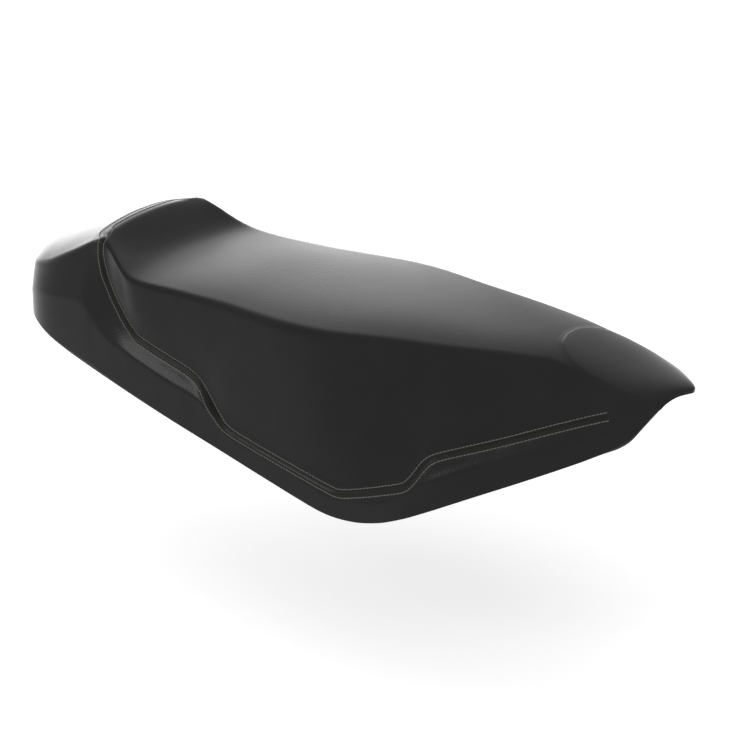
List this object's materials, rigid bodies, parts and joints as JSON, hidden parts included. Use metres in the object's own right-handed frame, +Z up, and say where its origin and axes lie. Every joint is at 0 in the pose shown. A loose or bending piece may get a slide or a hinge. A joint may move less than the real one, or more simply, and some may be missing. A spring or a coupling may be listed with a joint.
{
  "type": "two-up motorbike seat",
  "caption": "Long black stepped motorbike seat for rider and passenger: stitched leatherette cover over foam, rear hump, narrow nose, deep side skirts, latch pin and tongue below.",
  "frame": {"origin": "on the latch pin's axis, at the middle of its straight shank", "axes": "+X forwards to the nose, +Y to the rider's left, +Z up; the latch pin points along -Z"},
  "size_m": [0.7268, 0.2936, 0.2128],
  "materials": {
    "leatherette": "satin grained black leatherette",
    "foam": "matte moulded foam",
    "pan_plastic": "fine textured black plastic",
    "rubber": "matte black rubber",
    "black_steel": "satin black paint",
    "zinc_steel": "zinc plated"
  },
  "bodies": {
    "root": {"cover_main_panel": "leatherette", "cover_border_panel": "leatherette", "foam_cushion": "foam", "seat_pan": "pan_plastic", "bumper_1": "rubber", "bumper_2": "rubber", "bumper_3": "rubber", "bumper_4": "rubber", "bumper_5": "rubber", "bumper_6": "rubber", "latch_plate": "black_steel", "latch_screw_1": "zinc_steel", "latch_screw_2": "zinc_steel", "latch_screw_3": "zinc_steel", "latch_screw_4": "zinc_steel", "latch_pin": "zinc_steel", "latch_washer": "zinc_steel", "latch_nut": "zinc_steel", "front_tongue": "black_steel", "tongue_screw_1": "zinc_steel", "tongue_screw_2": "zinc_steel", "staples": "zinc_steel"}
  },
  "joints": []
}
